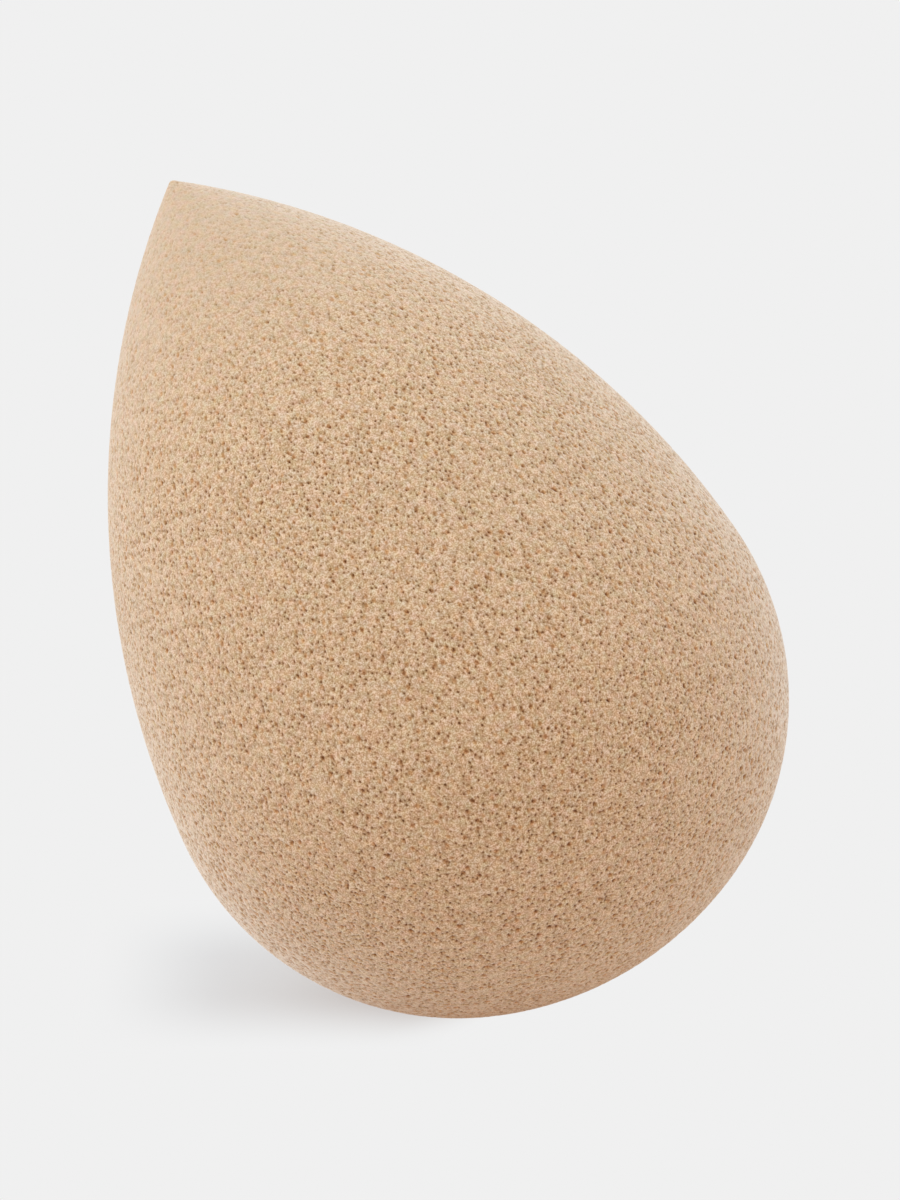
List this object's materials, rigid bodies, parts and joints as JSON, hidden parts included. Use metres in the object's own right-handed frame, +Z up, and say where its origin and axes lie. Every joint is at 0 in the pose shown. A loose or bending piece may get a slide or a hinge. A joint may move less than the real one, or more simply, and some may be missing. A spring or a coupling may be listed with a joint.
{
  "type": "makeup sponge",
  "caption": "Teardrop foam makeup sponge with a rounded base and a pointed tip, for dabbing and blending cosmetics on the face.",
  "frame": {"origin": "the middle of the small flat on which the sponge rests, on the table plane", "axes": "+Z up; the sponge's long axis leans 33 degrees from +Z, with its tip towards -X; +Y is square to the plane of the lean"},
  "size_m": [0.0456, 0.0418, 0.0535],
  "materials": {
    "foam": "matte open-celled polyurethane foam, beige, with fine pores"
  },
  "bodies": {
    "root": {"foam_body": "foam"}
  },
  "joints": []
}
